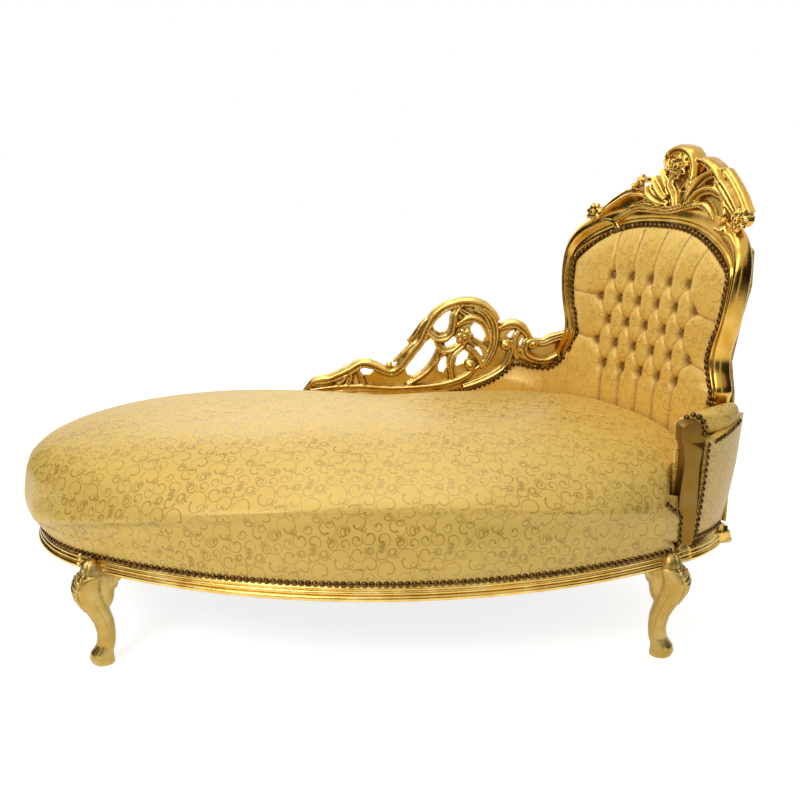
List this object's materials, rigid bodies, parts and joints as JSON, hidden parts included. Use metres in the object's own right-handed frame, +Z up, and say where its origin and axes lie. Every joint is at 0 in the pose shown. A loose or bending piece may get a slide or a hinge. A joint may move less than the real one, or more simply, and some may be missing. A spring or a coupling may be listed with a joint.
{
  "type": "chaise longue",
  "caption": "Chaise longue with a domed seat on a reeded gilt rail, a deep tufted barrel back and a pierced carved crest and side.",
  "frame": {"origin": "on the floor, under the middle of the part's own bounding box", "axes": "+X along the seat toward the head end with the back, +Y toward the rear side with the pierced carving, +Z up"},
  "size_m": [1.6827, 0.8597, 1.1201],
  "materials": {
    "gilt_wood": "burnished gold leaf over carved wood",
    "frame_timber": "sawn beech",
    "damask": "satin damask",
    "webbing": "woven jute",
    "lining": "plain cloth"
  },
  "bodies": {
    "root": {"front_seat_rail": "gilt_wood", "foot_end_rail": "gilt_wood", "back_seat_rail": "gilt_wood", "arm_side_rail": "gilt_wood", "back_end_rail": "gilt_wood", "leg_front_foot": "gilt_wood", "leg_front_head": "gilt_wood", "leg_rear_foot": "gilt_wood", "leg_rear_head": "gilt_wood", "corner_blocks": "frame_timber", "seat_cross_rails": "frame_timber", "seat_webbing": "webbing", "dust_cover": "lining", "seat_cushion": "damask", "back_frame": "gilt_wood", "back_posts": "frame_timber", "back_cross_rails": "frame_timber", "back_inner_panel": "webbing", "tufted_back": "damask", "tuft_buttons": "damask", "outside_back_panel": "damask", "crest_carving": "gilt_wood", "arm_post": "gilt_wood", "arm_rail": "frame_timber", "arm_pad": "damask", "arm_inside_panel": "damask", "arm_outside_panel": "damask", "side_board": "gilt_wood", "side_inner_panel": "damask", "side_outside_panel": "damask", "fretwork_carving": "gilt_wood"}
  },
  "joints": []
}
